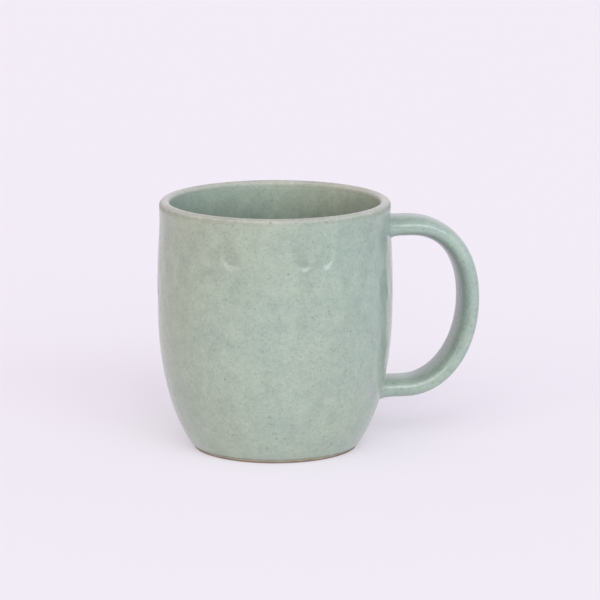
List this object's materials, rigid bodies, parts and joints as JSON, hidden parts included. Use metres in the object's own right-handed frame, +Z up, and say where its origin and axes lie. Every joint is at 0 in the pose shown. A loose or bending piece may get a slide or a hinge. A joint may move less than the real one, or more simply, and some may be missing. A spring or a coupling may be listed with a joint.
{
  "type": "mug",
  "caption": "Barrel-shaped glazed stoneware mug with a rounded lip, a bare clay foot ring and one strap loop handle.",
  "frame": {"origin": "on the cup's vertical axis, at the level of the table that the foot ring stands on", "axes": "+Z up along the cup's axis, +X from the cup's axis towards the handle, +Y to the left of the handle seen from the cup"},
  "size_m": [0.1189, 0.086, 0.0915],
  "materials": {
    "green_glaze": "satin grey-green glaze with fine dark speckles, fired on stoneware",
    "bare_clay": "unglazed fired stoneware, dry and matt"
  },
  "bodies": {
    "root": {"cup_body": "green_glaze", "foot_ring": "bare_clay", "handle": "green_glaze", "upper_handle_root": "green_glaze", "lower_handle_root": "green_glaze"}
  },
  "joints": []
}
